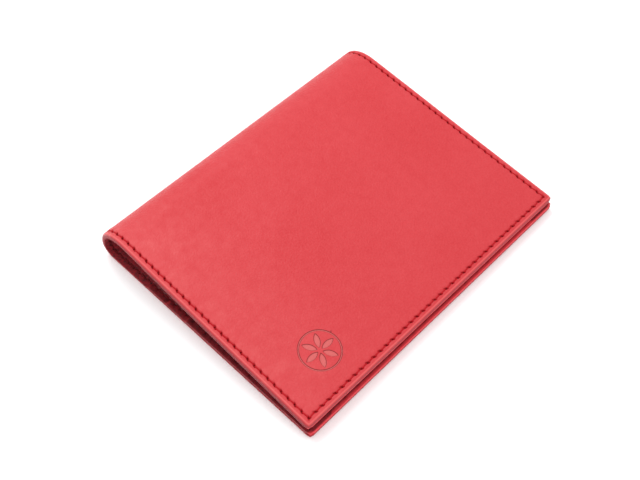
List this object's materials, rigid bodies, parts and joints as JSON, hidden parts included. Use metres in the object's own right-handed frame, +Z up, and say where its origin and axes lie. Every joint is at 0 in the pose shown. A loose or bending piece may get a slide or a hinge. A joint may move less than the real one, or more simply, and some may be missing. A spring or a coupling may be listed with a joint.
{
  "type": "folding card holder",
  "caption": "Folding leather card holder with a soft rounded fold, stitched leaves and staggered card pockets inside each leaf.",
  "frame": {"origin": "on the table, under the middle of the closed holder", "axes": "+X from the fold towards the open edge, +Y along the fold, +Z up from the back cover to the front cover"},
  "size_m": [0.0834, 0.102, 0.0145],
  "materials": {
    "cover_leather": "smooth satin",
    "pocket_leather": "smooth satin",
    "lining": "matte split",
    "stiffener_board": "matte",
    "thread": "waxed"
  },
  "bodies": {
    "back_leaf": {"back_cover": "cover_leather", "back_stiffener": "stiffener_board", "back_lining": "lining", "back_pocket_rear": "pocket_leather", "back_pocket_middle": "pocket_leather", "back_pocket_top": "pocket_leather", "back_rear_thread": "thread", "back_middle_thread": "thread", "back_edge_thread": "thread"},
    "fold_lower": {"fold_lower_cover": "cover_leather", "fold_lower_lining": "lining", "fold_lower_thread": "thread"},
    "fold_upper": {"fold_upper_cover": "cover_leather", "fold_upper_lining": "lining", "fold_upper_thread": "thread"},
    "front_leaf": {"front_cover": "cover_leather", "front_stiffener": "stiffener_board", "front_lining": "lining", "front_pocket_rear": "pocket_leather", "front_pocket_middle": "pocket_leather", "front_pocket_top": "pocket_leather", "front_rear_thread": "thread", "front_middle_thread": "thread", "front_edge_thread": "thread"}
  },
  "joints": [
    {"name": "lower_crease", "type": "hinge", "parent": "back_leaf", "child": "fold_lower", "pos_m": [-0.04029, 0, 0.00096], "axis": [0, -1, 0], "range_deg": [0, 79]},
    {"name": "middle_crease", "type": "hinge", "parent": "fold_lower", "child": "fold_upper", "pos_m": [-0.04112, 0, 0.00766], "axis": [0, -1, 0], "range_deg": [0, 59.25]},
    {"name": "upper_crease", "type": "hinge", "parent": "fold_upper", "child": "front_leaf", "pos_m": [-0.03437, 0, 0.01405], "axis": [0, -1, 0], "range_deg": [0, 45.69]}
  ],
  "couplings": [
    {"joint": "middle_crease", "follows": "lower_crease", "ratio": 0.75},
    {"joint": "upper_crease", "follows": "lower_crease", "ratio": 0.57824}
  ]
}
